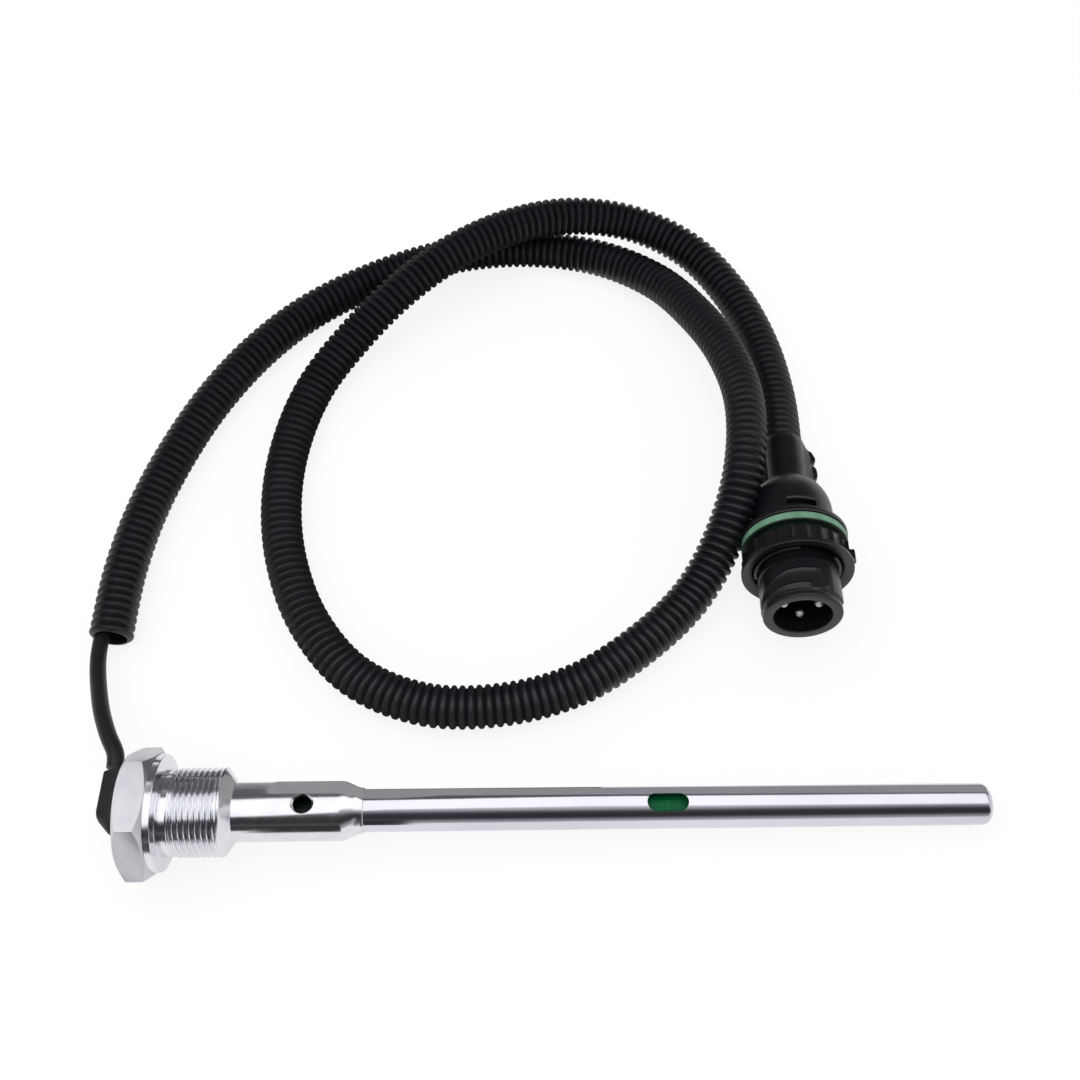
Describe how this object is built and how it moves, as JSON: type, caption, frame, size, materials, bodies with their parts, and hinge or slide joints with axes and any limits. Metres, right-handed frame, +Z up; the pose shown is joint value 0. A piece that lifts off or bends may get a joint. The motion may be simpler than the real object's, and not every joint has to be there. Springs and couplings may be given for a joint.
{
  "type": "liquid level sensor",
  "caption": "Screw-in dip-tube liquid level sensor with a hex plug, a long thin probe tube, a corrugated cable conduit in a loop and a round bayonet pin connector.",
  "frame": {"origin": "centre of the probe's footprint, on the surface that the sensor lies on", "axes": "+X along the probe from the hex plug to the tip, +Y towards the cable loop, +Z up"},
  "size_m": [0.2621, 0.2398, 0.0346],
  "materials": {
    "zinc_plated_steel": "satin",
    "stainless_tube": "polished",
    "green_carrier": "satin",
    "boot_rubber": "matte",
    "cable_sheath": "satin",
    "conduit_plastic": "satin",
    "connector_nylon": "satin",
    "insert_plastic": "matte",
    "green_seal": "satin",
    "tinned_pin": "polished",
    "brass": "satin",
    "resistance_wire": "satin",
    "potting_resin": "gloss",
    "spacer_plastic": "matte",
    "lead_red": "satin",
    "lead_black": "satin"
  },
  "bodies": {
    "sensor": {"mounting_plug": "zinc_plated_steel", "probe_tube": "stainless_tube", "potting_plug": "potting_resin", "rubber_boot": "boot_rubber", "cable": "cable_sheath", "conduit": "conduit_plastic", "sensor_carrier": "green_carrier", "sensing_wire": "resistance_wire", "wire_terminal_a": "brass", "wire_terminal_b": "brass", "wire_hook": "brass", "upper_spacer": "spacer_plastic", "tip_spacer": "spacer_plastic", "lead_a": "lead_red", "lead_b": "lead_black", "backshell_upper": "connector_nylon", "backshell_lower": "connector_nylon", "connector_body": "connector_nylon", "pin_insert": "insert_plastic", "contact_pin_1": "tinned_pin", "contact_pin_2": "tinned_pin", "contact_pin_3": "tinned_pin", "contact_pin_4": "tinned_pin", "wire_seal": "green_seal", "flange_seal": "green_seal", "core_a": "lead_red", "core_b": "lead_black"},
    "nut": {"ring_nut": "connector_nylon"}
  },
  "joints": [
    {"name": "ring_nut_turn", "type": "hinge", "parent": "sensor", "child": "nut", "pos_m": [0.076, 0.0677, 0.01803], "axis": [-0.0587, -0.988, 0.1426], "continuous": true}
  ]
}
